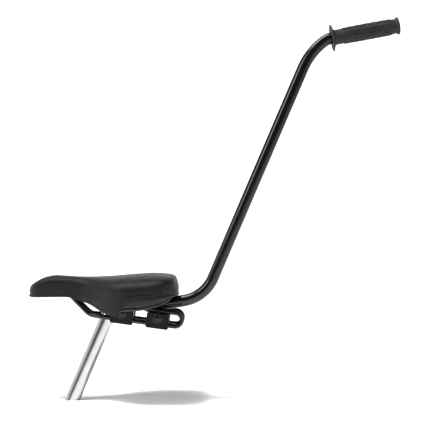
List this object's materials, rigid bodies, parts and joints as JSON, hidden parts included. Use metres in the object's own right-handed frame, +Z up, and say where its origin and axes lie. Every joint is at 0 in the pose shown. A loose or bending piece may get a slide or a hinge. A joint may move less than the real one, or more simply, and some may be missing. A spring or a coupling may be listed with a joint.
{
  "type": "child bicycle saddle with push handle",
  "caption": "Child's bicycle saddle on a short seat post, with a parent's bent-tube push handle and rubber grip clamped to the saddle rails.",
  "frame": {"origin": "centre of the seat post's lower end, on the post's axis", "axes": "+Z up, -X the riding direction (nose of the saddle), +X towards the grip, Y across the saddle"},
  "size_m": [0.5664, 0.1344, 0.5846],
  "materials": {
    "post_silver": "satin",
    "clamp_black": "satin black",
    "fastener_zinc": "black zinc",
    "rail_black": "gloss black",
    "base_plastic": "moulded, fine texture",
    "foam": "foam",
    "vinyl": "smooth black vinyl",
    "staple_steel": "bright",
    "handle_black": "gloss black",
    "grip_rubber": "matte, moulded pads"
  },
  "bodies": {
    "seat_post": {"seat_post": "post_silver"},
    "front_collar": {"front_collar": "clamp_black"},
    "front_plates": {"front_inner_plate_left": "clamp_black", "front_inner_plate_right": "clamp_black", "front_outer_plate_left": "clamp_black", "front_outer_plate_right": "clamp_black", "front_bolt": "fastener_zinc", "front_nuts": "fastener_zinc", "front_washers": "fastener_zinc"},
    "saddle": {"rail_left": "rail_black", "rail_right": "rail_black", "saddle_base": "base_plastic", "saddle_pad": "foam", "saddle_cover": "vinyl", "cover_staples": "staple_steel"},
    "rear_plates": {"rear_inner_plate_left": "clamp_black", "rear_inner_plate_right": "clamp_black", "rear_outer_plate_left": "clamp_black", "rear_outer_plate_right": "clamp_black", "rear_bolt": "fastener_zinc", "rear_nuts": "fastener_zinc", "rear_washers": "fastener_zinc"},
    "rear_collar": {"rear_collar": "clamp_black"},
    "handle": {"handle_tube": "handle_black", "handle_grip": "grip_rubber"}
  },
  "joints": [
    {"name": "post_turn", "type": "hinge", "parent": "seat_post", "child": "front_collar", "pos_m": [0.06062, 0, 0.14211], "axis": [0.3923, 0, 0.9198], "continuous": true},
    {"name": "saddle_tilt", "type": "hinge", "parent": "front_collar", "child": "front_plates", "pos_m": [0.07837, 0, 0.13454], "axis": [0, 1, 0], "range_deg": [-8, 8]},
    {"name": "saddle_slide", "type": "slide", "parent": "front_plates", "child": "saddle", "axis": [0.991, 0, -0.134], "range_m": [-0.014, 0.009]},
    {"name": "handle_clamp_slide", "type": "slide", "parent": "saddle", "child": "rear_plates", "axis": [0.991, 0, -0.134], "range_m": [0, 0.007]},
    {"name": "handle_tilt", "type": "hinge", "parent": "rear_plates", "child": "rear_collar", "pos_m": [0.13188, 0, 0.12731], "axis": [0, 1, 0], "range_deg": [0, 15]},
    {"name": "handle_turn", "type": "hinge", "parent": "rear_collar", "child": "handle", "pos_m": [0.12904, 0, 0.14427], "axis": [0.9863, 0, 0.165], "range_deg": [-90, 90]}
  ]
}
